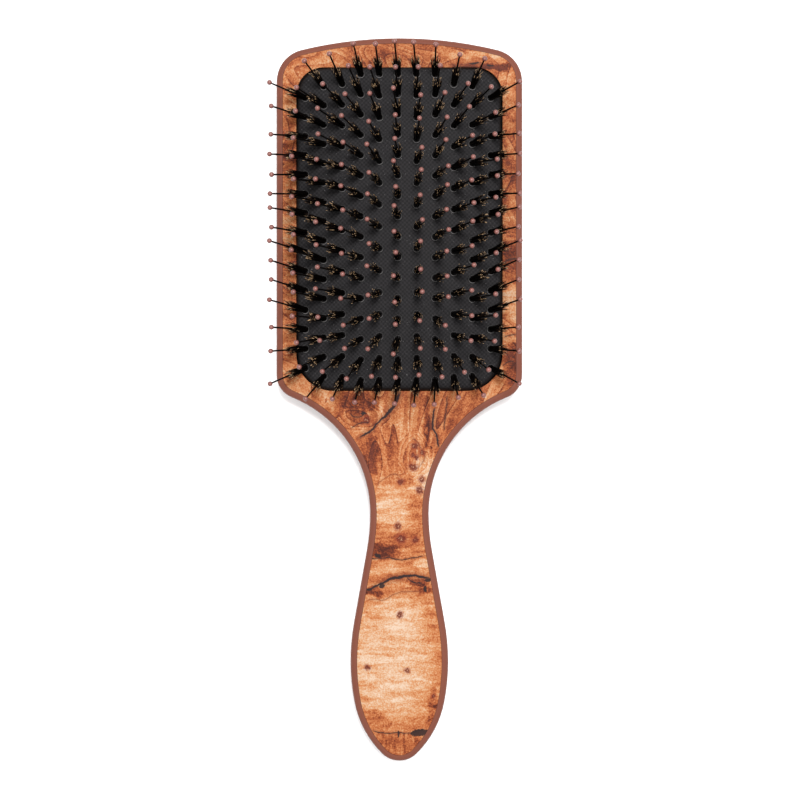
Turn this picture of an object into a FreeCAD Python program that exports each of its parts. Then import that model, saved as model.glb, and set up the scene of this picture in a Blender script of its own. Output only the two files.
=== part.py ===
import FreeCAD, Part
import math
import os

# A cushioned paddle hairbrush lying on its back. Lengths are in millimetres, angles in degrees.
# +Z is the way the bristles point, +Y runs from the handle end to the crown of the head.
# The origin is on the resting plane, midway along the brush and on its centreline.

# Outline of the body: a chain of tangent arcs down one half, mirrored for the other.
LENGTH = 250.0
CROWN_RADIUS = 143.4
CROWN_SWEEP = 13.7
CORNER_RADIUS = 11.2
SHOULDER_RADIUS = 8.2
SHOULDER_SWEEP = 68.2
NECK_RADIUS = 43.3
LOWER_NECK_RADIUS = 71.7
LOWER_NECK_SWEEP = 10.05
TAPER_LENGTH = 25.7
SWELL_RADIUS = 76.8
GRIP_RADIUS = 74.2
GRIP_SWEEP = 10.9
BUTT_RADIUS = 34.2
BUTT_SWEEP = 34.4
SIDE_LENGTH = 101.65

# Levels above the resting plane.
FACE_TOP = 13.0
FILM = 0.25
PLATE = 2.2
FLANGE = 1.6
FRAME = 2.2
PLATE_TOP = FACE_TOP - FILM
PLATE_BOTTOM = PLATE_TOP - PLATE
FLANGE_BOTTOM = PLATE_BOTTOM - FLANGE
FRAME_BOTTOM = FLANGE_BOTTOM - FRAME

# Back shell.
FLOOR = 2.2
WALL = 4.0
RIM = 2.2
BACK_ROUND = 6.0
RIM_ROUND = 2.0
NECK_PLACE = -40.0
NECK_RISE = 2.2
SWELL_PLACE = -88.0
SWELL_RISE = 0.4
TIP_RISE = 3.2
TIP_SLOPE = 0.16
SEAT_OUTER = 1.2
SEAT_INNER = -0.4
RIB = 1.6
RIB_PLACES = (-40.0, -58.0, -76.0, -94.0)
RIB_HOLE_RADIUS = 3.0
RIB_HOLE_LEVEL = 7.6

# Opening for the cushion in the face.
OPENING_HALF_WIDTH = 35.6
OPENING_TOP = 114.5
OPENING_BOTTOM = 2.9
OPENING_TOP_CORNER = 9.5
OPENING_BOTTOM_CORNER = 12.8
FLANGE_LAP = 2.2
FRAME_LIP = 1.8
FIT_GAP = 0.1
EMBED = 0.4

# Air cushion: a thin domed membrane with a flange held under the face plate.
CUSHION_GAP = 0.3
CUSHION_CROWN = 17.8
CUSHION_SAG_X = 2.4
CUSHION_SAG_Y = 1.6
CUSHION_EDGE_ROUND = 2.5
MEMBRANE = 1.6
HOLE_RADIUS = 1.15
OVERREACH = 4.0

# Tufts and pins: eleven columns, each evenly spaced between its own two ends.
COLUMNS = 5
COLUMN_PITCH = 6.35
COLUMN_OFFSET = -0.5
EVEN_ROWS = 16
COLUMN_TOP = (111.3, 111.3, 111.3, 108.0, 107.3, 103.5)
COLUMN_BOTTOM = (6.7, 6.7, 6.7, 7.7, 8.0, 10.8)
PIN_REACH = 19.4
PIN_RADIUS = 0.29
PIN_ROOT = 3.6
ROOT_DISC_RADIUS = 1.1
ROOT_DISC = 0.6
BALL_RADIUS = 0.85
TUFT_REACH = 10.6
TUFT_ROOT = 2.6
TUFT_RADIUS = 1.0
TUFT_SPLAY_RADIUS = 1.5
TUFT_BORE = 0.42

# How far a pin's tip stands outward from its root, across and along the brush: a polynomial
# in the root's place, from -1 to 1 over the cushion, with a small wobble per tuft. The rows
# at both ends fan less across the brush than the rows between.
FAN_X = 12.0
FAN_X_CUBIC = -2.7
FAN_X_END_LOSS = 0.9
FAN_X_LEAN = -1.1
FAN_Y = 2.74
FAN_Y_SKEW = -1.14
FAN_Y_CUBIC = 9.92
FAN_Y_FIFTH = -5.74
FAN_Y_SIDE_LOSS = 12.86
FAN_Y_SIDE_CUBIC = 12.74
WOBBLE_X = 0.4
WOBBLE_Y = 0.6

# The cushion gives way from this level, and pins of like height move together.
CUSHION_ANCHOR = 12.0
ZONES = 6


def point(x, y, z):
    return FreeCAD.Vector(x, y, z)


def half_outline(inset):
    """The body's right half set in by inset: the arcs and lines from the crown to the tip."""
    turns = [
        (CROWN_RADIUS - inset, CROWN_SWEEP, 1),
        (CORNER_RADIUS - inset, 90.0 - CROWN_SWEEP, 1),
        (0.0, SIDE_LENGTH, 0),
        (SHOULDER_RADIUS - inset, SHOULDER_SWEEP, 1),
        (NECK_RADIUS + inset, SHOULDER_SWEEP, -1),
        (LOWER_NECK_RADIUS + inset, LOWER_NECK_SWEEP, -1),
        (0.0, TAPER_LENGTH, 0),
        (SWELL_RADIUS - inset, LOWER_NECK_SWEEP, 1),
        (GRIP_RADIUS - inset, GRIP_SWEEP, 1),
        (BUTT_RADIUS - inset, BUTT_SWEEP, 1),
    ]
    x, y, heading = 0.0, LENGTH / 2.0 - inset, 0.0
    pieces = []
    for radius, amount, side in turns:
        if side == 0:
            end_x = x + amount * math.cos(heading)
            end_y = y - amount * math.sin(heading)
            pieces.append([(x, y), (end_x, end_y)])
            x, y = end_x, end_y
            continue
        steps, heading = arc_points(x, y, heading, radius, math.radians(amount), side)
        pieces.append(steps)
        x, y = steps[-1]
    tip_radius = x / math.cos(heading - math.pi / 2.0)
    steps, heading = arc_points(x, y, heading, tip_radius, math.pi - heading, 1)
    steps[-1] = (0.0, steps[-1][1])
    pieces.append(steps)
    return pieces


def arc_points(x, y, heading, radius, sweep, side):
    """Start, middle and end of an arc that leaves (x, y) on a heading clockwise from +X."""
    centre_x = x - side * math.sin(heading) * radius
    centre_y = y - side * math.cos(heading) * radius
    points = [(x, y)]
    for share in (0.5, 1.0):
        turned = heading + side * sweep * share
        points.append(
            (
                centre_x + side * math.sin(turned) * radius,
                centre_y + side * math.cos(turned) * radius,
            )
        )
    return points, heading + side * sweep


def edge_through(points, z):
    """A line through two points or an arc through three, at level z."""
    at = [point(x, y, z) for x, y in points]
    if len(at) == 2:
        return Part.makeLine(at[0], at[1])
    return Part.Arc(at[0], at[1], at[2]).toShape()


def outline_prism(inset, bottom, top):
    """The whole outline set in by inset, from one level to another."""
    right = half_outline(inset)
    left = [[(-x, y) for x, y in reversed(piece)] for piece in reversed(right)]
    edges = [edge_through(piece, bottom) for piece in right + left]
    face = Part.Face(Part.Wire(edges))
    return face.extrude(point(0, 0, top - bottom))


def opening_prism(grow, bottom, top):
    """The cushion opening grown by grow all round, from one level to another."""
    half = OPENING_HALF_WIDTH + grow
    high = OPENING_TOP + grow
    low = OPENING_BOTTOM - grow
    top_r = OPENING_TOP_CORNER + grow
    low_r = OPENING_BOTTOM_CORNER + grow
    slant = math.sqrt(0.5)
    right = [
        [(0.0, high), (half - top_r, high)],
        [
            (half - top_r, high),
            (half - top_r + top_r * slant, high - top_r + top_r * slant),
            (half, high - top_r),
        ],
        [(half, high - top_r), (half, low + low_r)],
        [
            (half, low + low_r),
            (half - low_r + low_r * slant, low + low_r - low_r * slant),
            (half - low_r, low),
        ],
        [(half - low_r, low), (0.0, low)],
    ]
    left = [[(-x, y) for x, y in reversed(piece)] for piece in reversed(right)]
    edges = [edge_through(piece, bottom) for piece in right + left]
    face = Part.Face(Part.Wire(edges))
    return face.extrude(point(0, 0, top - bottom))


def above_back(lift):
    """Everything above the back's side profile, lifted by lift, up to the face."""
    reach = LENGTH / 2.0 + OVERREACH
    side = -LENGTH / 4.0
    profile = [
        point(side, 0.0, lift),
        point(side, NECK_PLACE, NECK_RISE + lift),
        point(side, SWELL_PLACE, SWELL_RISE + lift),
        point(side, -reach, TIP_RISE + lift),
    ]
    curve = Part.BSplineCurve()
    curve.interpolate(
        Points=profile,
        InitialTangent=point(0, -1, 0),
        FinalTangent=point(0, -1, TIP_SLOPE),
    )
    head_end = point(side, reach, lift)
    head_high = point(side, reach, FACE_TOP)
    tip_high = point(side, -reach, FACE_TOP)
    edges = [
        Part.makeLine(head_end, profile[0]),
        curve.toShape(),
        Part.makeLine(profile[-1], tip_high),
        Part.makeLine(tip_high, head_high),
        Part.makeLine(head_high, head_end),
    ]
    return Part.Face(Part.Wire(edges)).extrude(point(-2.0 * side, 0, 0))


def back_shell():
    """The moulded tub: rounded back, rim round the face, seat for the frame and handle ribs."""
    body = outline_prism(0.0, -EMBED, FACE_TOP).common(above_back(0.0))
    low = [edge for edge in body.Edges if is_back_edge(edge)]
    body = body.makeFillet(BACK_ROUND, low)
    high = [edge for edge in body.Edges if lies_at(edge, FACE_TOP)]
    body = body.makeFillet(RIM_ROUND, high)
    hollow = outline_prism(WALL, 0.0, PLATE_BOTTOM).common(above_back(FLOOR))
    recess = outline_prism(RIM, PLATE_BOTTOM, FACE_TOP + EMBED)
    body = body.cut(hollow.fuse(recess))
    seat = opening_prism(SEAT_OUTER, FLOOR - EMBED, FRAME_BOTTOM)
    seat = seat.cut(opening_prism(SEAT_INNER, 0.0, FACE_TOP))
    body = body.fuse(seat)
    for y in RIB_PLACES:
        body = body.fuse(handle_rib(y))
    return body.removeSplitter()


def handle_rib(y):
    """A web across the hollow handle with a round hole through its middle."""
    web = Part.makeBox(LENGTH, RIB, PLATE_BOTTOM, point(-LENGTH / 2.0, y, 0.0))
    web = web.common(outline_prism(WALL - EMBED, 0.0, PLATE_BOTTOM))
    web = web.common(above_back(FLOOR - EMBED))
    hole = Part.makeCylinder(RIB_HOLE_RADIUS, 3.0 * RIB, point(0, y - RIB, RIB_HOLE_LEVEL), point(0, 1, 0))
    return web.cut(hole)


def is_back_edge(edge):
    """True for an edge of the underside's border."""
    box = edge.BoundBox
    flat_run = abs(box.XMax + box.XMin) < 0.01 and box.XLength > 1.0 and box.YLength < 0.01
    return box.ZMax < FACE_TOP / 2.0 and not flat_run


def lies_at(edge, z):
    """True for an edge that lies flat at level z."""
    return abs(edge.BoundBox.ZMin - z) < 0.001 and abs(edge.BoundBox.ZMax - z) < 0.001


def face_plate():
    """The front plate, let into the rim, with the opening for the cushion."""
    plate = outline_prism(RIM + FIT_GAP, PLATE_BOTTOM, PLATE_TOP)
    return plate.cut(opening_prism(0.0, 0.0, FACE_TOP + EMBED))


def burl_film():
    """The printed film bonded to the front plate."""
    film = outline_prism(RIM + FIT_GAP, PLATE_TOP, FACE_TOP)
    return film.cut(opening_prism(0.0, 0.0, FACE_TOP + EMBED))


def cushion_frame():
    """The ring that presses the cushion's flange up against the front plate."""
    ring = opening_prism(FLANGE_LAP, FRAME_BOTTOM, FLANGE_BOTTOM)
    return ring.cut(opening_prism(-FRAME_LIP, 0.0, FACE_TOP))


def half_opening_length():
    return (OPENING_TOP - OPENING_BOTTOM) / 2.0


def dome_radii():
    """Radii of the dome's arcs across and along the brush."""
    half_x = OPENING_HALF_WIDTH
    half_y = half_opening_length()
    across = (half_x ** 2 + CUSHION_SAG_X ** 2) / (2.0 * CUSHION_SAG_X)
    along = (half_y ** 2 + CUSHION_SAG_Y ** 2) / (2.0 * CUSHION_SAG_Y)
    return across, along


def dome_height(x, y):
    """Level of the dome's surface at a place on the cushion."""
    across, along = dome_radii()
    middle = (OPENING_TOP + OPENING_BOTTOM) / 2.0
    dip = across - math.sqrt(across ** 2 - x ** 2)
    return CUSHION_CROWN - along + math.sqrt((along - dip) ** 2 - (y - middle) ** 2)


def under_dome(drop):
    """Everything under the dome's surface lowered by drop, wider than the cushion."""
    across, along = dome_radii()
    middle = (OPENING_TOP + OPENING_BOTTOM) / 2.0
    half = OPENING_HALF_WIDTH + OVERREACH
    crown = CUSHION_CROWN - drop
    edge_level = crown - across + math.sqrt(across ** 2 - half ** 2)
    arc = Part.Arc(
        point(-half, middle, edge_level),
        point(0, middle, crown),
        point(half, middle, edge_level),
    ).toShape()
    base = -OVERREACH
    sides = [
        arc,
        Part.makeLine(point(half, middle, edge_level), point(half, middle, base)),
        Part.makeLine(point(half, middle, base), point(-half, middle, base)),
        Part.makeLine(point(-half, middle, base), point(-half, middle, edge_level)),
    ]
    section = Part.Face(Part.Wire(sides))
    hub = point(0, middle, crown - along)
    swing = math.degrees(math.asin((half_opening_length() + 2.0 * OVERREACH) / along))
    section.rotate(hub, point(1, 0, 0), -swing)
    return section.revolve(hub, point(1, 0, 0), 2.0 * swing)


def cushion_pad(places):
    """The domed rubber membrane, its side wall and flange, with a hole at every tuft."""
    outer = opening_prism(-CUSHION_GAP, FLANGE_BOTTOM, CUSHION_CROWN + EMBED)
    outer = outer.common(under_dome(0.0))
    top = [edge for edge in outer.Edges if edge.BoundBox.ZMin > FACE_TOP and not is_upright(edge)]
    outer = outer.makeFillet(CUSHION_EDGE_ROUND, top)
    inner = opening_prism(-CUSHION_GAP - MEMBRANE, 0.0, CUSHION_CROWN)
    inner = inner.common(under_dome(MEMBRANE))
    flange = opening_prism(FLANGE_LAP, FLANGE_BOTTOM, PLATE_BOTTOM)
    pad = outer.fuse(flange).cut(inner)
    holes = []
    for base, direction in places:
        start = base - direction * (3.0 * MEMBRANE)
        holes.append(Part.makeCylinder(HOLE_RADIUS, 6.0 * MEMBRANE, start, direction))
    return pad.cut(holes)


def is_upright(edge):
    """True for an edge that runs straight up."""
    box = edge.BoundBox
    return box.XLength < 0.01 and box.YLength < 0.01


def tuft_places():
    """Root and direction of every tuft, column by column."""
    places = []
    middle = (OPENING_TOP + OPENING_BOTTOM) / 2.0
    for column in range(-COLUMNS, COLUMNS + 1):
        rows = EVEN_ROWS - abs(column) % 2
        high = COLUMN_TOP[abs(column)]
        low = COLUMN_BOTTOM[abs(column)]
        x = COLUMN_OFFSET + column * COLUMN_PITCH
        across = column / float(COLUMNS)
        for row in range(rows):
            y = high + (low - high) * row / (rows - 1.0)
            along = (y - middle) / (COLUMN_TOP[0] - middle)
            end_loss = FAN_X_END_LOSS * abs(along) ** 5 * (1.0 - across ** 6)
            lean_x = (FAN_X * across + FAN_X_CUBIC * across ** 3) * (1.0 - end_loss) + FAN_X_LEAN
            lean_y = (FAN_Y - FAN_Y_SIDE_LOSS * across ** 2) * along + FAN_Y_SKEW * along ** 2
            lean_y += (FAN_Y_CUBIC + FAN_Y_SIDE_CUBIC * across ** 2) * along ** 3
            lean_y += FAN_Y_FIFTH * along ** 5
            lean_x += WOBBLE_X * math.sin(2.3 * row + 4.1 * column)
            lean_y += WOBBLE_Y * math.sin(3.7 * row + 1.9 * column + 1.0)
            rise = math.sqrt(PIN_REACH ** 2 - lean_x ** 2 - lean_y ** 2)
            direction = point(lean_x, lean_y, rise).normalize()
            places.append((point(x, y, dome_height(x, y)), direction))
    return places


def zones_of(places):
    """The places sorted into zones by height above the cushion's anchor, highest first."""
    heights = [base.z - CUSHION_ANCHOR for base, direction in places]
    step = (max(heights) - min(heights)) / ZONES
    zones = [[] for zone in range(ZONES)]
    for (base, direction), height in zip(places, heights):
        zone = min(ZONES - 1, int((max(heights) - height) / step))
        zones[zone].append((base, direction))
    return zones


def nylon_pin():
    """One pin standing on the origin: a thin shaft with a disc at its root."""
    shaft = Part.makeCylinder(PIN_RADIUS, PIN_REACH + PIN_ROOT, point(0, 0, -PIN_ROOT))
    disc = Part.makeCylinder(ROOT_DISC_RADIUS, ROOT_DISC, point(0, 0, -PIN_ROOT))
    return shaft.fuse(disc).removeSplitter()


def ball_tip():
    """The ball on the end of a pin, with the hole the shaft fills."""
    ball = Part.makeSphere(BALL_RADIUS, point(0, 0, PIN_REACH))
    return ball.cut(Part.makeCylinder(PIN_RADIUS, PIN_REACH))


def boar_tuft():
    """The bundle of bristles round a pin: straight in its hole, then splayed."""
    edge = 0.35
    profile = [
        point(TUFT_BORE, 0, -TUFT_ROOT),
        point(TUFT_RADIUS, 0, -TUFT_ROOT),
        point(TUFT_RADIUS, 0, 0.6),
        point(TUFT_SPLAY_RADIUS, 0, TUFT_REACH - edge),
        point(TUFT_SPLAY_RADIUS - edge, 0, TUFT_REACH),
        point(TUFT_BORE, 0, TUFT_REACH),
    ]
    section = Part.Face(Part.makePolygon(profile + [profile[0]]))
    return section.revolve(point(0, 0, 0), point(0, 0, 1), 360)


def planted(piece, zone):
    """A copy of the piece at every place of one zone."""
    copies = []
    for base, direction in zone:
        copy = piece.copy()
        copy.Placement = FreeCAD.Placement(base, FreeCAD.Rotation(point(0, 0, 1), direction))
        copies.append(copy)
    return Part.makeCompound(copies)


def write(name, shape):
    shape.exportStep("parts/" + name + ".step")


os.makedirs("parts", exist_ok=True)
PLACES = tuft_places()
write("back_shell", back_shell())
write("face_plate", face_plate())
write("burl_film", burl_film())
write("cushion_frame", cushion_frame())
write("cushion_pad", cushion_pad(PLACES))
for number, zone in enumerate(zones_of(PLACES), start=1):
    write("nylon_pins_zone" + str(number), planted(nylon_pin(), zone))
    write("ball_tips_zone" + str(number), planted(ball_tip(), zone))
    write("boar_tufts_zone" + str(number), planted(boar_tuft(), zone))
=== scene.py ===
import math
import random

import bpy
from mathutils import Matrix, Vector


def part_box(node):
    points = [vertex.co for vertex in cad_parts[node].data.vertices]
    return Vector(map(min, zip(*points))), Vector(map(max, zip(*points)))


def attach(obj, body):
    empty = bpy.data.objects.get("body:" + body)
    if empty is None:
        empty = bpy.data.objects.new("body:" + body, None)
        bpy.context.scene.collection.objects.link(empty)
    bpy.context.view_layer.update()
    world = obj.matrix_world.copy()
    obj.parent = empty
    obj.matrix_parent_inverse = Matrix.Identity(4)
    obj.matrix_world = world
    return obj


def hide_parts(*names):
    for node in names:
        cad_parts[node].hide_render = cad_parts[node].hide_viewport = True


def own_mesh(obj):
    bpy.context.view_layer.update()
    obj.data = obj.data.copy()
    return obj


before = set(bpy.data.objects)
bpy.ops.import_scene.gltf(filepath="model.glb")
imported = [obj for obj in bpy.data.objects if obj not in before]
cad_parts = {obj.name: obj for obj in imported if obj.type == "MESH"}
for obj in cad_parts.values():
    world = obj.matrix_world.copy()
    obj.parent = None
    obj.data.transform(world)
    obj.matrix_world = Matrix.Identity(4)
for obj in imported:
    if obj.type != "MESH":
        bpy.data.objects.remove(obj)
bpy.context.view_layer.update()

# A cushioned paddle hairbrush on its back, bristles up. Metres; +Y is toward the crown.
MM = 0.001

PLATE_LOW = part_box("face_plate")[0]
FRAME_LOW, FRAME_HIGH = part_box("cushion_frame")


# ---------------------------------------------------------------- colours and node graphs

# The studio light is this much stronger than white, so that the floor's soft shadows stay white.
STUDIO_LIGHT = 2.0


def srgb(red, green, blue):
    """A display colour from 0 to 255, as seen in the studio light, as a linear shader colour."""
    linear = []
    for value in (red, green, blue):
        share = value / 255.0
        if share <= 0.04045:
            linear.append(share / 12.92 / STUDIO_LIGHT)
        else:
            linear.append(((share + 0.055) / 1.055) ** 2.4 / STUDIO_LIGHT)
    return (*linear, 1.0)


class Graph:
    """A material's node tree, built one value at a time. p is the place in millimetres."""

    def __init__(self, name, roughness=0.5, gloss=0.25):
        self.material = bpy.data.materials.new(name)
        self.material.use_nodes = True
        self.tree = self.material.node_tree
        self.shader = self.tree.nodes["Principled BSDF"]
        self.shader.inputs["Roughness"].default_value = roughness
        self.shader.inputs["Specular IOR Level"].default_value = gloss
        coords = self.tree.nodes.new("ShaderNodeTexCoord")
        self.p = self.vector("MULTIPLY", coords.outputs["Object"], (1.0 / MM,) * 3)
        self.x, self.y = self.split(self.p)[:2]

    def feed(self, value, socket):
        if isinstance(value, bpy.types.NodeSocket):
            self.tree.links.new(value, socket)
        else:
            socket.default_value = value

    def split(self, place):
        """The three parts of a vector."""
        node = self.tree.nodes.new("ShaderNodeSeparateXYZ")
        self.tree.links.new(place, node.inputs[0])
        return node.outputs

    def math(self, operation, first, second=0.0, third=0.0):
        node = self.tree.nodes.new("ShaderNodeMath")
        node.operation = operation
        for value, socket in zip((first, second, third), node.inputs):
            self.feed(value, socket)
        return node.outputs[0]

    def vector(self, operation, first, second):
        node = self.tree.nodes.new("ShaderNodeVectorMath")
        node.operation = operation
        self.feed(first, node.inputs[0])
        self.feed(second, node.inputs[1])
        return node.outputs[0]

    def join(self, x, y):
        node = self.tree.nodes.new("ShaderNodeCombineXYZ")
        self.feed(x, node.inputs[0])
        self.feed(y, node.inputs[1])
        return node.outputs[0]

    def stretched(self, x, y, wide, high):
        """A place with its two coordinates scaled, so that a pattern there is drawn out."""
        return self.join(self.math("MULTIPLY", x, wide), self.math("MULTIPLY", y, high))

    def noise(self, place, scale, detail=3.0, roughness=0.55, distortion=0.0, colour=False):
        node = self.tree.nodes.new("ShaderNodeTexNoise")
        self.feed(place, node.inputs["Vector"])
        node.inputs["Scale"].default_value = scale
        node.inputs["Detail"].default_value = detail
        node.inputs["Roughness"].default_value = roughness
        node.inputs["Distortion"].default_value = distortion
        return node.outputs["Color" if colour else "Fac"]

    def warp(self, place, scale, amount, detail=2.0):
        """The place pushed about by noise, by up to amount."""
        push = self.noise(place, scale, detail, colour=True)
        push = self.vector("SUBTRACT", push, (0.5, 0.5, 0.5))
        push = self.vector("MULTIPLY", push, (2.0 * amount, 2.0 * amount, 0.0))
        return self.vector("ADD", place, push)

    def step(self, value, low, high, out_low=0.0, out_high=1.0, kind="SMOOTHSTEP"):
        """A smooth step from out_low at low to out_high at high, clamped beyond them."""
        node = self.tree.nodes.new("ShaderNodeMapRange")
        node.interpolation_type = kind
        for socket, number in zip(node.inputs[:5], (value, low, high, out_low, out_high)):
            self.feed(number, socket)
        return node.outputs[0]

    def step_linear(self, *values):
        """The same as step, as a straight run."""
        return self.step(*values, kind="LINEAR")

    def ramp(self, value, stops):
        node = self.tree.nodes.new("ShaderNodeValToRGB")
        self.feed(value, node.inputs[0])
        marks = node.color_ramp.elements
        while len(marks) < len(stops):
            marks.new(0.5)
        for mark, (place, colour) in zip(marks, stops):
            mark.position = place
            mark.color = colour
        return node.outputs[0]

    def mix(self, share, first, second):
        node = self.tree.nodes.new("ShaderNodeMix")
        node.data_type = "RGBA"
        self.feed(share, node.inputs[0])
        self.feed(first, node.inputs[6])
        self.feed(second, node.inputs[7])
        return node.outputs[2]

    def value(self, label):
        """A number that the mesh carries at its points."""
        node = self.tree.nodes.new("ShaderNodeAttribute")
        node.attribute_name = label
        return node.outputs["Fac"]

    def upright(self):
        """1 where the surface faces straight up, 0 on a wall."""
        place = self.tree.nodes.new("ShaderNodeNewGeometry")
        return self.split(place.outputs["Normal"])[2]

    def set(self, socket, value):
        self.feed(value, self.shader.inputs[socket])

    def bump(self, height, distance, strength):
        node = self.tree.nodes.new("ShaderNodeBump")
        node.inputs["Strength"].default_value = strength
        node.inputs["Distance"].default_value = distance
        self.feed(height, node.inputs["Height"])
        self.tree.links.new(node.outputs[0], self.shader.inputs["Normal"])


# ---------------------------------------------------------------- burl print

# Soft patches of the print: centre, half sizes and how much lighter or redder, in mm.
BURL_PATCHES = (
    (-3.5, -90.0, 17.0, 24.0, 0.31),
    (3.0, -74.0, 12.0, 6.0, 0.10),
    (-3.0, -37.5, 8.0, 9.0, 0.24),
    (8.5, -26.5, 5.0, 9.0, 0.30),
    (3.5, -9.0, 3.6, 9.0, 0.16),
    (9.0, -57.0, 4.5, 2.6, 0.30),
    (-3.0, -59.0, 9.0, 3.0, 0.14),
    (1.5, -48.5, 5.5, 3.4, -0.09),
    (6.5, -46.5, 3.4, 6.0, -0.06),
    (-6.0, -52.4, 6.5, 3.0, -0.38),
    (-9.6, -19.0, 3.0, 9.0, -0.34),
    (9.6, -8.0, 1.6, 11.0, -0.30),
    (2.4, -6.0, 1.1, 8.0, -0.16),
    (-15.0, -1.0, 8.0, 4.5, -0.26),
    (-13.0, -10.5, 4.0, 1.8, 0.20),
    (-5.8, -3.0, 1.5, 5.5, 0.26),
    (17.5, -6.0, 2.4, 8.0, -0.12),
    (-9.0, -66.3, 3.6, 1.6, -0.34),
    (6.0, -63.0, 4.0, 1.2, -0.30),
    (8.8, -65.5, 2.4, 2.6, -0.24),
    (2.0, -61.0, 12.0, 1.6, -0.12),
    (-9.5, -110.0, 6.0, 4.0, -0.14),
    (11.6, -106.0, 2.0, 8.0, -0.20),
    (0.0, -120.5, 14.0, 6.0, -0.13),
    (2.0, -8.0, 34.0, 17.0, -0.07),
    (0.0, 62.0, 60.0, 62.0, -0.08),
    (0.0, 119.0, 44.0, 6.0, -0.07),
    (-22.0, 118.0, 7.0, 3.5, 0.18),
    (28.0, 119.0, 14.0, 2.0, 0.26),
    (30.0, 114.6, 12.0, 1.5, -0.44),
    (-39.0, 85.0, 4.0, 9.0, -0.20),
    (-39.0, 60.0, 4.0, 7.0, 0.16),
    (39.0, 34.0, 4.0, 8.0, 0.24),
    (39.0, 50.0, 4.0, 8.0, -0.24),
    (39.0, 12.0, 4.0, 9.0, -0.26),
    (39.0, 78.0, 4.0, 6.0, -0.18),
)


def ellipse(graph, place, x, y, wide, high):
    """The squared distance from a centre, 1 on the ellipse."""
    spot = graph.split(place)
    across = graph.math("MULTIPLY", graph.math("SUBTRACT", spot[0], x), 1.0 / wide)
    along = graph.math("MULTIPLY", graph.math("SUBTRACT", spot[1], y), 1.0 / high)
    return graph.math("MULTIPLY_ADD", along, along, graph.math("MULTIPLY", across, across))


def burl_patches(graph, place):
    """How much lighter, above 0, or redder, below 0, the print is here."""
    total = 0.0
    for x, y, wide, high, amount in BURL_PATCHES:
        near = graph.step(ellipse(graph, place, x, y, wide, high), 1.25, 0.15, 0.0, amount)
        total = graph.math("ADD", total, near)
    return total


# Veins: the axis each runs along, points on it in mm (along, across), half width and strength.
BURL_VEINS = (
    (
        "y",
        ((-14.6, -15.0), (-12.9, -12.5), (-8.1, -7.3), (-4.4, -3.6), (0.1, -0.9), (3.5, 0.4)),
        0.36,
        0.95,
    ),
    ("y", ((-17.6, 13.7), (-11.9, 12.5), (-7.9, 11.5), (-2.2, 12.3)), 0.30, 0.85),
    ("y", ((-11.0, 15.7), (-8.1, 15.7), (2.0, 17.0)), 0.16, 0.7),
    ("y", ((-26.0, -9.6), (-20.0, -9.9), (-15.0, -8.0)), 0.5, 0.3),
    ("y", ((-24.6, 2.2), (-23.2, 6.1), (-20.3, 8.2), (-16.3, 7.0), (-11.9, 3.8)), 0.20, 0.35),
    ("x", ((-12.0, -55.2), (-5.1, -54.7), (2.7, -55.1), (9.6, -54.0)), 0.15, 0.75),
    (
        "x",
        ((-12.0, -66.2), (-8.2, -64.6), (-5.7, -63.0), (-2.0, -61.8), (5.7, -61.0), (11.2, -62.2)),
        0.36,
        1.0,
    ),
    ("x", ((2.6, -61.3), (4.8, -62.7), (8.0, -63.1)), 0.17, 0.9),
    ("x", ((-12.2, -69.6), (-5.1, -68.6), (1.1, -66.4), (5.7, -66.0), (8.6, -67.8)), 0.16, 0.4),
    ("x", ((-10.4, -114.0), (-4.0, -114.9), (4.0, -114.8), (10.0, -113.4)), 0.14, 0.75),
    ("x", ((16.0, 114.8), (25.5, 115.8), (33.2, 114.6), (39.0, 113.6)), 0.42, 0.42),
    ("x", ((-8.2, -30.0), (-4.1, -26.3), (-0.9, -25.8), (1.0, -26.9)), 0.13, 0.4),
    ("x", ((-17.2, -10.4), (-15.3, -8.8), (-10.2, -8.3)), 0.16, 0.6),
    ("x", ((-17.5, -4.6), (-14.5, -5.9), (-11.6, -4.0)), 0.22, 0.6),
    ("x", ((36.0, 47.2), (37.8, 48.2), (40.4, 48.5)), 0.32, 0.6),
    ("x", ((36.1, 21.2), (37.8, 21.9), (40.2, 22.4)), 0.20, 0.55),
    ("x", ((36.1, 15.8), (38.0, 16.8), (40.2, 17.2)), 0.20, 0.55),
    ("x", ((35.6, 11.4), (37.2, 12.6), (39.8, 13.1)), 0.22, 0.55),
)

# Black inclusions: centre and half sizes in mm.
BURL_BLOTS = (
    (-5.7, -64.3, 0.9, 1.0),
    (9.6, -62.3, 1.2, 0.5),
    (8.9, -65.4, 0.55, 1.3),
    (-10.4, -65.6, 1.1, 0.5),
    (-7.4, -53.7, 1.2, 0.7),
    (7.3, -115.0, 3.3, 1.25),
    (-0.3, -115.5, 0.4, 1.2),
    (-12.6, -4.6, 0.9, 0.6),
    (26.0, 115.8, 1.6, 0.4),
    (31.5, 115.2, 1.2, 0.4),
)

# Burl eyes: centre and radius in mm. Each is a dark spot in a redder halo, with a pale pit.
BURL_EYES = (
    (5.4, -16.1, 1.1),
    (4.6, -19.0, 0.8),
    (5.8, -20.0, 0.7),
    (7.5, -18.5, 1.0),
    (4.6, -23.2, 1.3),
    (0.5, -28.2, 1.1),
    (7.8, -27.6, 1.0),
    (7.1, -31.2, 1.2),
    (-0.6, -43.8, 1.1),
    (-11.4, -7.2, 1.3),
    (0.6, -47.9, 1.6),
    (5.2, -48.4, 1.2),
    (0.2, -74.4, 1.0),
    (-11.0, -92.5, 0.9),
    (2.9, -93.4, 0.9),
    (11.7, -102.6, 0.9),
)


VEIN_FADE = 0.12
VEIN_HALO = 3.4
VEIN_ROUGHNESS = 1.8


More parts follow.
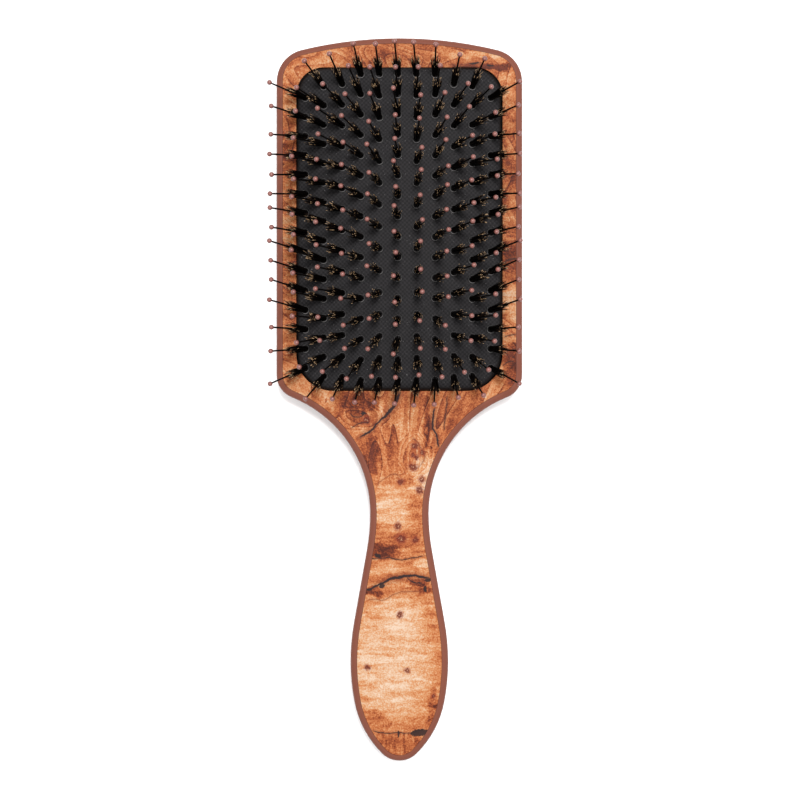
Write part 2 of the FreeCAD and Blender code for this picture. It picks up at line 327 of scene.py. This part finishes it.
def burl_vein(graph, place, run, points, half_width, rough):
    """1 on a thin line through the points, which fades at both its ends."""
    along, across = graph.split(place)[:2]
    if run == "y":
        along, across = across, along
    start, end = points[0][0], points[-1][0]
    low = min(value for spot, value in points) - 1.0
    high = max(value for spot, value in points) + 1.0
    node = graph.tree.nodes.new("ShaderNodeFloatCurve")
    marks = node.mapping.curves[0].points
    while len(marks) < len(points):
        marks.new(0.5, 0.5)
    for mark, (spot, value) in zip(marks, points):
        mark.location = ((spot - start) / (end - start), (value - low) / (high - low))
    node.mapping.update()
    share = graph.step_linear(along, start, end)
    graph.feed(share, node.inputs["Value"])
    line = graph.math("MULTIPLY_ADD", node.outputs[0], high - low, low)
    slope = (points[-1][1] - points[0][1]) / (end - start)
    off = graph.math("ABSOLUTE", graph.math("SUBTRACT", across, line))
    off = graph.math("MULTIPLY", off, 1.0 / math.sqrt(1.0 + slope * slope))
    off = graph.math("MULTIPLY_ADD", rough, half_width, off)
    inside = graph.step(off, half_width * 1.6, half_width * 0.7)
    fade = VEIN_FADE * (end - start)
    first = graph.step(along, start, start + fade)
    last = graph.step(along, end, end - fade)
    return graph.math("MULTIPLY", inside, graph.math("MULTIPLY", first, last))


# The neck's streaks and rings fan out from this place on the centreline. Lengths in mm.
NECK_FOCUS = -62.0
NECK_FAN = 46.0


def neck_fan(graph):
    """The angle round the neck's focus, as a width."""
    angle = graph.math("ARCTAN2", graph.x, graph.math("ADD", graph.y, -NECK_FOCUS))
    return graph.math("MULTIPLY", angle, NECK_FAN)


def burl_grain(graph, place):
    """Streaks that run down into the neck, across the handle and up from its tip."""
    down = graph.join(neck_fan(graph), graph.math("MULTIPLY", graph.y, 0.09))
    neck = graph.noise(down, 0.42, 4.0, 0.6, 0.4)
    x, y = graph.split(place)[:2]
    handle = graph.noise(graph.stretched(x, y, 0.10, 0.55), 0.8, 4.0, 0.6, 0.3)
    tip = graph.noise(graph.stretched(x, y, 1.0, 0.13), 0.85, 3.0, 0.6, 0.5)
    border = graph.noise(graph.stretched(x, y, 0.5, 1.0), 0.20, 4.0, 0.6, 0.6)
    grain = graph.mix(graph.step(graph.y, -34.0, -22.0), handle, neck)
    grain = graph.mix(graph.step(graph.y, -112.5, -115.5), grain, tip)
    return graph.mix(graph.step(graph.y, 2.0, 10.0), grain, border)


# Knots that the rings bend round: centre and half sizes in mm, and how many rings they lift.
BURL_KNOTS = (
    (5.6, -20.0, 6.0, 8.5, 0.24),
    (-12.0, -6.0, 8.0, 5.0, 0.20),
    (0.5, -28.5, 3.5, 3.5, 0.14),
)


def ring_tone(graph, field, count, amount):
    """Growth rings along a field's contours: each fades up slowly from a thin dark edge."""
    ring = graph.math("FRACT", graph.math("MULTIPLY", field, count))
    edge = graph.step(ring, 0.20, 0.0)
    swing = graph.math("MULTIPLY", graph.math("SUBTRACT", ring, 0.55), 0.30 * amount)
    return graph.math("MULTIPLY_ADD", edge, -0.20 * amount, swing)


def burl_rings(graph):
    """Rings that flow down into the neck, lie across the handle and slant on the border."""
    down = graph.join(neck_fan(graph), graph.math("MULTIPLY", graph.y, 0.30))
    field = graph.noise(down, 0.045, 1.0, 0.4, 1.3)
    for x, y, wide, high, lift in BURL_KNOTS:
        away = ellipse(graph, graph.warp(graph.p, 0.25, 1.2), x, y, wide, high)
        field = graph.math("ADD", field, graph.step(away, 1.3, 0.0, 0.0, lift))
    neck = ring_tone(graph, field, 13.0, 0.75)
    flat = graph.stretched(graph.x, graph.y, 0.25, 1.0)
    handle = ring_tone(graph, graph.noise(flat, 0.05, 2.0, 0.5, 0.8), 12.0, 0.24)
    slant = graph.math("MULTIPLY_ADD", graph.x, 0.35, graph.y)
    slant = graph.stretched(graph.x, slant, 0.6, 1.0)
    border = ring_tone(graph, graph.noise(slant, 0.05, 1.0, 0.4, 1.0), 13.0, 0.6)
    upper = graph.step(graph.y, -38.0, -22.0)
    rings = graph.math("MULTIPLY_ADD", upper, graph.math("SUBTRACT", neck, handle), handle)
    head = graph.step(graph.y, 2.0, 10.0)
    return graph.math("MULTIPLY_ADD", head, graph.math("SUBTRACT", border, rings), rings)


def burl_print():
    """Printed burl wood under a satin lacquer."""
    graph = Graph("burl_print", 0.55, 0.09)
    place = graph.warp(graph.p, 0.22, 1.1)
    rough = graph.math("SUBTRACT", graph.noise(graph.p, 1.6, 3.0, 0.6), 0.5)
    tone = graph.math("ADD", 0.50, burl_patches(graph, graph.warp(graph.p, 0.3, 2.2)))
    grain = graph.math("SUBTRACT", burl_grain(graph, place), 0.5)
    tone = graph.math("MULTIPLY_ADD", grain, 0.95, tone)
    mottle = graph.math("SUBTRACT", graph.noise(graph.p, 0.30, 4.0, 0.62, 0.8), 0.5)
    tone = graph.math("MULTIPLY_ADD", mottle, 0.42, tone)
    fine = graph.math("SUBTRACT", graph.noise(graph.p, 1.9, 2.0, 0.7), 0.5)
    tone = graph.math("MULTIPLY_ADD", fine, 0.95, tone)
    tone = graph.math("ADD", burl_rings(graph), tone)
    colour = graph.ramp(
        tone,
        (
            (0.00, srgb(84, 38, 28)),
            (0.20, srgb(140, 64, 36)),
            (0.36, srgb(184, 98, 54)),
            (0.52, srgb(212, 130, 78)),
            (0.68, srgb(226, 162, 112)),
            (0.84, srgb(234, 190, 153)),
            (1.00, srgb(244, 214, 188)),
        ),
    )
    for x, y, radius in BURL_EYES:
        away = ellipse(graph, place, x, y, radius, radius)
        away = graph.math("MULTIPLY_ADD", rough, 3.4, away)
        colour = graph.mix(graph.step(away, 3.4, 0.8, 0.0, 0.60), colour, srgb(158, 68, 44))
        colour = graph.mix(graph.step(away, 1.15, 0.45, 0.0, 0.88), colour, srgb(112, 44, 32))
        colour = graph.mix(graph.step(away, 0.06, -0.25, 0.0, 0.6), colour, srgb(236, 180, 140))
    for run, points, half_width, share in BURL_VEINS:
        ragged = graph.math("MULTIPLY", rough, VEIN_ROUGHNESS)
        line = burl_vein(graph, place, run, points, half_width, ragged)
        wide = burl_vein(graph, place, run, points, half_width * VEIN_HALO, ragged)
        dark = srgb(56, 40, 40) if share > 0.5 else srgb(122, 58, 44)
        colour = graph.mix(graph.math("MULTIPLY", wide, 0.40 * share), colour, srgb(136, 70, 46))
        line = graph.math("MULTIPLY", line, min(1.0, share + 0.15))
        colour = graph.mix(line, colour, dark)
    for x, y, wide, high in BURL_BLOTS:
        away = graph.math("MULTIPLY_ADD", rough, 2.2, ellipse(graph, place, x, y, wide, high))
        colour = graph.mix(graph.step(away, 1.25, 0.8, 0.0, 0.95), colour, srgb(50, 38, 38))
    graph.set("Base Color", colour)
    graph.set("Roughness", graph.step_linear(mottle, -0.5, 0.5, 0.62, 0.50))
    graph.bump(fine, 0.00002, 0.25)
    return graph.material


# ---------------------------------------------------------------- plain materials

def moulded(name, colour, shade, roughness, grain=0.00003, gloss=0.25):
    """Moulded plastic: two close tones, a fine spark-eroded grain and uneven gloss."""
    graph = Graph(name, roughness, gloss)
    clouds = graph.noise(graph.p, 0.09, 4.0, 0.6)
    graph.set("Base Color", graph.mix(clouds, colour, shade))
    skin = graph.noise(graph.p, 2.6, 3.0, 0.65)
    graph.set("Roughness", graph.step_linear(skin, 0.2, 0.8, roughness - 0.06, roughness + 0.06))
    graph.bump(skin, grain, 0.5)
    return graph.material


def ball_resin():
    """Rose resin balls, with painted shade that darkens them toward their sides and undersides."""
    graph = Graph("ball_tip", 0.32, 0.45)
    clouds = graph.noise(graph.p, 0.25, 3.0, 0.6)
    crown = graph.mix(clouds, srgb(163, 104, 95), srgb(151, 91, 82))
    # Painted shade: the ball is drawn darker wherever its surface turns away from straight up.
    clear_of_painted_shade = graph.step(graph.upright(), 0.40, 0.95)
    graph.set("Base Color", graph.mix(clear_of_painted_shade, srgb(120, 70, 63), crown))
    skin = graph.noise(graph.p, 3.0, 2.0, 0.6)
    graph.set("Roughness", graph.step_linear(skin, 0.2, 0.8, 0.26, 0.38))
    return graph.material


# Distance in mm between the threads of the weave pressed into the rubber.
WEAVE_PITCH = 1.04


def cushion_rubber():
    """Matt black rubber embossed with a fine diagonal weave and dusty, with painted shade in the
    weave's grooves and on its slopes, and a painted highlight on the lips.
    """
    graph = Graph("cushion_rubber", 0.62, 0.12)
    turn = math.sqrt(0.5) * 2.0 * math.pi / WEAVE_PITCH
    one = graph.math("SINE", graph.math("MULTIPLY", graph.math("ADD", graph.x, graph.y), turn))
    two = graph.math("SINE", graph.math("MULTIPLY", graph.math("SUBTRACT", graph.x, graph.y), turn))
    weave = graph.math("MULTIPLY_ADD", graph.math("ADD", one, two), 0.25, 0.5)
    dust = graph.noise(graph.p, 1.4, 4.0, 0.7)
    # Painted shade: the weave's grooves are drawn darker than its ridges.
    base = graph.mix(weave, srgb(16, 14, 16), srgb(48, 45, 47))
    base = graph.mix(graph.step(dust, 0.55, 0.80, 0.0, 0.45), base, srgb(96, 92, 94))
    specks = graph.noise(graph.p, 2.1, 1.0, 0.5)
    pale = srgb(150, 146, 146)
    base = graph.mix(graph.step(specks, 0.72, 0.80, 0.0, 0.7), base, pale)
    # Painted shade: slopes, such as the dome's rounded edge and the sides of the lips, are drawn
    # near black.
    base = graph.mix(graph.step(graph.upright(), 0.55, 0.94), srgb(7, 6, 7), base)
    # Painted highlight: the lip crests are drawn paler, most on their lower side.
    lip_highlight = graph.math("MULTIPLY", graph.value("lip_highlight"), 0.8)
    graph.set("Base Color", graph.mix(lip_highlight, base, pale))
    graph.set("Roughness", graph.step_linear(dust, 0.2, 0.8, 0.55, 0.72))
    graph.bump(weave, 0.00006, 0.7)
    return graph.material


def boar_bristle():
    """Dark natural bristle, golden toward its split tip."""
    graph = Graph("boar_bristle", 0.42, 0.06)
    tip = graph.value("tip")
    tint = graph.value("tint")
    golden = graph.mix(graph.step(tint, 0.60, 0.96), srgb(36, 21, 14), srgb(255, 212, 164))
    dark = graph.mix(tint, srgb(7, 5, 5), srgb(20, 14, 11))
    graph.set("Base Color", graph.mix(graph.step(tip, 0.87, 0.98), dark, golden))
    skin = graph.noise(graph.p, 3.0)
    graph.set("Roughness", graph.step_linear(skin, 0.3, 0.7, 0.30, 0.46))
    return graph.material


# ---------------------------------------------------------------- shapes

# The cushion and its opening, as in the CAD.
MIDDLE = (FRAME_LOW.y + FRAME_HIGH.y) / 2.0
FLANGE_LAP = 2.2 * MM
OPENING_HALF_WIDTH = FRAME_HIGH.x - FLANGE_LAP
OPENING_HALF_LENGTH = (FRAME_HIGH.y - FRAME_LOW.y) / 2.0 - FLANGE_LAP
OPENING_TOP_CORNER = 9.5 * MM
OPENING_BOTTOM_CORNER = 12.8 * MM

CUSHION_GAP = 0.3 * MM
CUSHION_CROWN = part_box("cushion_pad")[1].z
CUSHION_SAG_X = 2.4 * MM
CUSHION_SAG_Y = 1.6 * MM
CUSHION_EDGE_ROUND = 2.5 * MM
CUSHION_ANCHOR = 12.0 * MM
MEMBRANE = 1.5 * MM
SKIRT_WALL = 0.6 * MM
TUFT_ROOT = 2.6 * MM
TUFT_REACH = 10.6 * MM
ZONES = 6

# How finely the dome is divided. Its rows stop just short of the two ends.
DOME_COLUMNS = 96
DOME_ROWS = 150
DOME_END = 0.999


def new_mesh(name, points, faces, material, smooth=True):
    """A mesh object in the brush's frame, with one material."""
    mesh = bpy.data.meshes.new(name)
    mesh.from_pydata(points, [], faces)
    mesh.validate()
    mesh.update()
    mesh.polygons.foreach_set("use_smooth", [smooth] * len(mesh.polygons))
    mesh.materials.append(material)
    thing = bpy.data.objects.new(name, mesh)
    bpy.context.scene.collection.objects.link(thing)
    return thing


def add_values(thing, label, values):
    """A number at every point of a mesh, for its material to read."""
    layer = thing.data.attributes.new(label, "FLOAT", "POINT")
    layer.data.foreach_set("value", values)


def place_piece(thing, body, slot, *nodes):
    """Hangs a piece on the body that carries it and hides the CAD nodes it stands for. The slot
    argument is not used.
    """
    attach(thing, body)
    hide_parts(*nodes)


def dress(node, material):
    """Gives a CAD node one material all over."""
    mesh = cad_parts[node].data
    mesh.materials.clear()
    mesh.materials.append(material)


def border_inset(x, y, grow):
    """How far a place lies inside the cushion opening grown by grow."""
    radius = (OPENING_TOP_CORNER if y > MIDDLE else OPENING_BOTTOM_CORNER) + grow
    over_x = abs(x) - (OPENING_HALF_WIDTH + grow) + radius
    over_y = abs(y - MIDDLE) - (OPENING_HALF_LENGTH + grow) + radius
    outside = math.hypot(max(over_x, 0.0), max(over_y, 0.0))
    return radius - outside - min(max(over_x, over_y), 0.0)


def border_half_width(y, grow):
    """Half the width of the opening, grown by grow, at a place along the brush."""
    radius = (OPENING_TOP_CORNER if y > MIDDLE else OPENING_BOTTOM_CORNER) + grow
    over = abs(y - MIDDLE) - (OPENING_HALF_LENGTH + grow) + radius
    half = OPENING_HALF_WIDTH + grow - radius
    return half + math.sqrt(max(radius ** 2 - max(over, 0.0) ** 2, 0.0))


LOOP_PER_SIDE = 24
LOOP_PER_CORNER = 12
LONG_RUN = 5.0 * MM


def border_loop(grow, level):
    """A closed loop of points round the opening grown by grow, anticlockwise from the right."""
    loop = []
    half_x = OPENING_HALF_WIDTH + grow
    half_y = OPENING_HALF_LENGTH + grow
    corners = (
        (1, 1, OPENING_TOP_CORNER + grow, 0.0),
        (-1, 1, OPENING_TOP_CORNER + grow, 0.5 * math.pi),
        (-1, -1, OPENING_BOTTOM_CORNER + grow, math.pi),
        (1, -1, OPENING_BOTTOM_CORNER + grow, 1.5 * math.pi),
    )
    for side_x, side_y, radius, start in corners:
        centre_x = side_x * (half_x - radius)
        centre_y = MIDDLE + side_y * (half_y - radius)
        for step in range(LOOP_PER_CORNER + 1):
            angle = start + 0.5 * math.pi * step / LOOP_PER_CORNER
            loop.append((centre_x + radius * math.cos(angle), centre_y + radius * math.sin(angle)))
    points = []
    for here, there in zip(loop, loop[1:] + loop[:1]):
        points.append((*here, level))
        run_x = there[0] - here[0]
        run_y = there[1] - here[1]
        if math.hypot(run_x, run_y) > LONG_RUN:
            for step in range(1, LOOP_PER_SIDE):
                share = step / LOOP_PER_SIDE
                points.append((here[0] + run_x * share, here[1] + run_y * share, level))
    return points


def dome_height(x, y):
    """Level of the cushion's dome, as in the CAD: an arc across swung along a larger arc."""
    across = (OPENING_HALF_WIDTH ** 2 + CUSHION_SAG_X ** 2) / (2.0 * CUSHION_SAG_X)
    along = (OPENING_HALF_LENGTH ** 2 + CUSHION_SAG_Y ** 2) / (2.0 * CUSHION_SAG_Y)
    dip = across - math.sqrt(across ** 2 - x ** 2)
    return CUSHION_CROWN - along + math.sqrt((along - dip) ** 2 - (y - MIDDLE) ** 2)


def dome_normal(x, y):
    """The direction straight out of the dome."""
    away = 0.5 * MM
    slope_x = (dome_height(x + away, y) - dome_height(x - away, y)) / (2.0 * away)
    slope_y = (dome_height(x, y + away) - dome_height(x, y - away)) / (2.0 * away)
    return Vector((-slope_x, -slope_y, 1.0)).normalized()


def cushion_height(x, y):
    """The dome with its rounded edge."""
    inset = max(0.0, border_inset(x, y, -CUSHION_GAP))
    drop = 0.0
    if inset < CUSHION_EDGE_ROUND:
        away = CUSHION_EDGE_ROUND - inset
        drop = CUSHION_EDGE_ROUND - math.sqrt(CUSHION_EDGE_ROUND ** 2 - away ** 2)
    return dome_height(x, y) - drop


def islands(thing):
    """The separate solids of a CAD node, each as a list of its distinct points."""
    mesh = thing.data
    names = {}
    group = []
    spot = []
    for vertex in mesh.vertices:
        key = tuple(round(value, 6) for value in vertex.co)
        if key not in names:
            names[key] = len(names)
            group.append(names[key])
        spot.append(names[key])

    def find(item):
        while group[item] != item:
            group[item] = group[group[item]]
            item = group[item]
        return item

    for face in mesh.polygons:
        first = find(spot[face.vertices[0]])
        for corner in face.vertices[1:]:
            group[find(spot[corner])] = first
    solids = {}
    for key, item in names.items():
        solids.setdefault(find(item), []).append(Vector(key))
    return list(solids.values())


END_FACE = 0.3 * MM


def tuft_axis(points):
    """Foot and head of a tuft's axis: the middles of its two end faces."""
    top = max(points, key=lambda point: point.z)
    low = min(points, key=lambda point: point.z)
    axis = (top - low).normalized()
    for repeat in range(3):
        reach = [point.dot(axis) for point in points]
        head = [point for point, far in zip(points, reach) if far > max(reach) - END_FACE]
        foot = [point for point, far in zip(points, reach) if far < min(reach) + END_FACE]
        head_middle = sum(head, Vector()) / len(head)
        foot_middle = sum(foot, Vector()) / len(foot)
        axis = (head_middle - foot_middle).normalized()
    return foot_middle, head_middle


def cushion_dome(tufts, material):
    """The domed membrane with its side wall down to the anchor, and a raised lip at each tuft."""
    half_y = OPENING_HALF_LENGTH - CUSHION_GAP
    points = []
    for row in range(DOME_ROWS + 1):
        y = MIDDLE + half_y * math.sin(0.5 * math.pi * (2.0 * row / DOME_ROWS - 1.0) * DOME_END)
        half_x = border_half_width(y, -CUSHION_GAP)
        for column in range(DOME_COLUMNS + 1):
            x = half_x * math.sin(0.5 * math.pi * (2.0 * column / DOME_COLUMNS - 1.0))
            points.append((x, y, cushion_height(x, y)))
    wide = DOME_COLUMNS + 1
    faces = []
    for row in range(DOME_ROWS):
        for column in range(DOME_COLUMNS):
            first = row * wide + column
            faces.append((first, first + 1, first + 1 + wide, first + wide))
    ring = list(range(wide))
    ring += [row * wide + DOME_COLUMNS for row in range(1, DOME_ROWS + 1)]
    ring += [DOME_ROWS * wide + column for column in range(DOME_COLUMNS - 1, -1, -1)]
    ring += [row * wide for row in range(DOME_ROWS - 1, 0, -1)]
    wall = len(points)
    points += [(points[spot][0], points[spot][1], CUSHION_ANCHOR) for spot in ring]
    for step in range(len(ring)):
        after = (step + 1) % len(ring)
        faces.append((ring[step], wall + step, wall + after, ring[after]))
    dome = new_mesh("cushion_dome", points, faces, material)
    thick = dome.modifiers.new("membrane", "SOLIDIFY")
    thick.thickness = MEMBRANE
    thick.offset = -1.0
    apply_modifiers(dome)
    return add_lips(dome, tufts)


def apply_modifiers(thing):
    bpy.context.view_layer.update()
    depsgraph = bpy.context.evaluated_depsgraph_get()
    ready = bpy.data.meshes.new_from_object(thing.evaluated_get(depsgraph))
    thing.modifiers.clear()
    thing.data = ready


# The lip round a tuft: radius and height over the dome in mm, and how much painted highlight it
# carries there.
LIP_PROFILE = (
    (1.10, -0.5, 0.0),
    (1.12, 0.12, 0.2),
    (1.19, 0.28, 0.9),
    (1.29, 0.34, 1.0),
    (1.40, 0.28, 0.3),
    (1.50, 0.06, 0.0),
    (1.54, -0.3, 0.0),
    (1.30, -0.5, 0.0),
)
LIP_STEPS = 28
# The least painted highlight a lip carries, on its upper side.
LIP_LEAST_HIGHLIGHT = 0.35


def add_lips(dome, tufts):
    """Rings of rubber that stand up round the tufts, in the same mesh as the dome."""
    mesh = dome.data
    points = [tuple(vertex.co) for vertex in mesh.vertices]
    faces = [tuple(face.vertices) for face in mesh.polygons]
    lip_highlight = [0.0] * len(points)
    for foot, _ in tufts:
        up = dome_normal(foot.x, foot.y)
        side = up.cross(Vector((0.0, 1.0, 0.0))).normalized()
        front = up.cross(side)
        start = len(points)
        for step in range(LIP_STEPS):
            angle = 2.0 * math.pi * step / LIP_STEPS
            out = side * math.cos(angle) + front * math.sin(angle)
            for radius, height, glint in LIP_PROFILE:
                points.append(tuple(foot + out * (radius * MM) + up * (height * MM)))
                # Painted highlight: the lower side of each lip is drawn brighter, where the key
                # light would catch it.
                lit_side = max(0.0, -out.y)
                lip_highlight.append(glint * (LIP_LEAST_HIGHLIGHT + (1.0 - LIP_LEAST_HIGHLIGHT) * lit_side))
        count = len(LIP_PROFILE)
        for step in range(LIP_STEPS):
            here = start + step * count
            there = start + (step + 1) % LIP_STEPS * count
            for spot in range(count):
                after = (spot + 1) % count
                faces.append((here + spot, here + after, there + after, there + spot))
    material = mesh.materials[0]
    name = dome.name
    bpy.data.objects.remove(dome)
    ready = new_mesh(name, points, faces, material)
    add_values(ready, "lip_highlight", lip_highlight)
    return ready


def cushion_skirt(material):
    """The part of the cushion under the face: side wall and flange, which stay still."""
    frame_top = FRAME_HIGH.z
    plate_low = PLATE_LOW.z
    wall_out = -CUSHION_GAP
    wall_in = -CUSHION_GAP - SKIRT_WALL
    profile = (
        (wall_in, frame_top),
        (FLANGE_LAP, frame_top),
        (FLANGE_LAP, plate_low),
        (wall_out, plate_low),
        (wall_out, CUSHION_ANCHOR),
        (wall_in, CUSHION_ANCHOR),
    )
    loops = [border_loop(grow, level) for grow, level in profile]
    points = [point for loop in loops for point in loop]
    size = len(loops[0])
    faces = []
    for level in range(len(loops)):
        above = (level + 1) % len(loops)
        for step in range(size):
            after = (step + 1) % size
            here, there = level * size, above * size
            faces.append((here + step, here + after, there + after, there + step))
    return new_mesh("cushion_skirt", points, faces, material, smooth=False)


BRISTLES = 64
BRISTLE_RADIUS = 0.12 * MM
BRISTLE_STEPS = 5
BUNDLE_RADIUS = 0.97 * MM
PIN_SPACE = 0.36 * MM
SPLAY = 0.50
STRAY = 0.22
BEND_START = 0.22
BEND_POWER = 1.6
BEND_REACH = 2.2
TAPER = 0.55


def bristle_tufts(number, tufts, material):
    """The tufts of one zone: each bristle a thin three-sided rod that bends outward and tapers."""
    rand = random.Random(400 + number)
    points, faces, tips, tints = [], [], [], []
    for foot, axis in tufts:
        side = axis.cross(Vector((0.0, 1.0, 0.1))).normalized()
        front = axis.cross(side)
        root = foot - axis * TUFT_ROOT
        length = (foot + axis * TUFT_REACH - root).length
        for _ in range(BRISTLES):
            add_bristle(rand, (root, axis, side, front, length), points, faces, tips, tints)
    name = "bristle_tufts_zone" + str(number)
    thing = new_mesh(name, points, faces, material)
    add_values(thing, "tip", tips)
    add_values(thing, "tint", tints)
    return thing


def add_bristle(rand, tuft, points, faces, tips, tints):
    """One bristle, with its share of the way to the tip and its own tint at every point."""
    root, axis, side, front, length = tuft
    angle = rand.uniform(0.0, 2.0 * math.pi)
    far = math.sqrt(rand.uniform((PIN_SPACE / BUNDLE_RADIUS) ** 2, 1.0))
    out = side * math.cos(angle) + front * math.sin(angle)
    turn = front * math.cos(angle) - side * math.sin(angle)
    usual = rand.random() < 0.8
    reach = length * (rand.uniform(0.84, 1.0) if usual else rand.uniform(0.70, 1.06))
    lean = SPLAY * far * rand.uniform(0.6, 1.5)
    stray = rand.gauss(0.0, STRAY)
    tint = rand.random()
    start = len(points)
    for step in range(BRISTLE_STEPS + 1):
        share = step / BRISTLE_STEPS
        bend = BEND_REACH * max(0.0, share - BEND_START) ** BEND_POWER
        middle = root + axis * (reach * share)
        middle += out * (BUNDLE_RADIUS * (far + lean * bend))
        middle += turn * (BUNDLE_RADIUS * stray * bend)
        radius = BRISTLE_RADIUS * (1.0 - TAPER * share ** 3)
        for corner in range(3):
            around = 2.0 * math.pi * corner / 3.0 + angle
            rim = out * math.cos(around) + turn * math.sin(around)
            points.append(tuple(middle + rim * radius))
            tips.append(share)
            tints.append(tint)
    for step in range(BRISTLE_STEPS):
        for corner in range(3):
            here = start + step * 3
            after = (corner + 1) % 3
            faces.append((here + corner, here + after, here + 3 + after, here + 3 + corner))
    faces.append((start + 2, start + 1, start))
    last = start + BRISTLE_STEPS * 3
    faces.append((last, last + 1, last + 2))


# ---------------------------------------------------------------- the brush

def make_brush():
    """Dresses the CAD pieces, and makes the tufts and the cushion over theirs."""
    shell = moulded("soft_touch_shell", srgb(147, 87, 69), srgb(138, 79, 62), 0.55, 0.00003, 0.12)
    clamp = moulded("frame_plastic", srgb(30, 28, 28), srgb(40, 38, 38), 0.6, 0.00003, 0.1)
    dress("back_shell", shell)
    dress("face_plate", moulded("front_plate", srgb(176, 120, 84), srgb(160, 106, 74), 0.5))
    dress("burl_film", burl_print())
    dress("cushion_frame", clamp)
    pins = moulded("pin_nylon", srgb(8, 6, 5), srgb(14, 10, 9), 0.34, 0.00001, 0.08)
    balls = ball_resin()
    bristles = boar_bristle()
    rubber = cushion_rubber()
    everywhere = []
    for number in range(1, ZONES + 1):
        dress("nylon_pins_zone" + str(number), pins)
        dress("ball_tips_zone" + str(number), balls)
        node = "boar_tufts_zone" + str(number)
        tufts = []
        for points in islands(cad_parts[node]):
            foot, head = tuft_axis(points)
            axis = (head - foot).normalized()
            tufts.append((foot + axis * TUFT_ROOT, axis))
        tufts.sort(key=lambda tuft: (round(tuft[0].x, 4), tuft[0].y))
        everywhere += tufts
        piece = bristle_tufts(number, tufts, bristles)
        place_piece(piece, "bristle_zone" + str(number), "boar_bristle", node)
    dome = cushion_dome(everywhere, rubber)
    place_piece(dome, "handle", "cushion_rubber", "cushion_pad")
    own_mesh(dome)
    skirt = cushion_skirt(rubber)
    place_piece(skirt, "handle", "cushion_rubber", "cushion_pad")


# ---------------------------------------------------------------- floor, light and camera

FLOOR_HALF = 1.2


def floor():
    signs = ((-1, -1), (1, -1), (1, 1), (-1, 1))
    corners = [(x * FLOOR_HALF, y * FLOOR_HALF, 0.0) for x, y in signs]
    graph = Graph("floor_paper", 0.8)
    clouds = graph.noise(graph.p, 0.01, 3.0)
    graph.set("Base Color", graph.mix(clouds, (0.93, 0.93, 0.93, 1.0), (0.96, 0.96, 0.96, 1.0)))
    sheet = new_mesh("floor", corners, [(0, 1, 2, 3)], graph.material, smooth=False)


def lamp(name, place, size, power):
    """A round lamp that faces the brush."""
    light = bpy.data.lights.new(name, "AREA")
    light.shape = "DISK"
    light.size = size
    light.energy = power
    thing = bpy.data.objects.new(name, light)
    thing.location = place
    aim = -Vector(place)
    thing.rotation_euler = aim.to_track_quat("-Z", "Y").to_euler()
    bpy.context.scene.collection.objects.link(thing)


def light():
    world = bpy.data.worlds.new("studio")
    world.use_nodes = True
    sky = world.node_tree.nodes["Background"]
    sky.inputs["Color"].default_value = (1.0, 1.0, 1.0, 1.0)
    sky.inputs["Strength"].default_value = 1.0
    bpy.context.scene.world = world
    lamp("key", (0.05, 0.20, 0.74), 0.20, 6.2)
    lamp("fill", (-0.30, -0.34, 0.66), 0.50, 1.0)
    lamp("side", (0.50, -0.05, 0.42), 0.35, 0.6)
    bpy.context.scene.view_settings.view_transform = "Standard"


# The camera looks straight down, and VIEW_WIDTH of the brush's outline fills the picture.
CAMERA_HEIGHT = 0.470
CAMERA_SHIFT = 0.0002
OUTLINE_LEVEL = 0.010
VIEW_WIDTH = 0.2776


def camera():
    data = bpy.data.cameras.new("camera")
    data.sensor_width = 36.0
    data.lens = data.sensor_width * (CAMERA_HEIGHT - OUTLINE_LEVEL) / VIEW_WIDTH
    thing = bpy.data.objects.new("camera", data)
    thing.location = (CAMERA_SHIFT, -CAMERA_SHIFT, CAMERA_HEIGHT)
    bpy.context.scene.collection.objects.link(thing)
    bpy.context.scene.camera = thing


make_brush()
floor()
light()
camera()
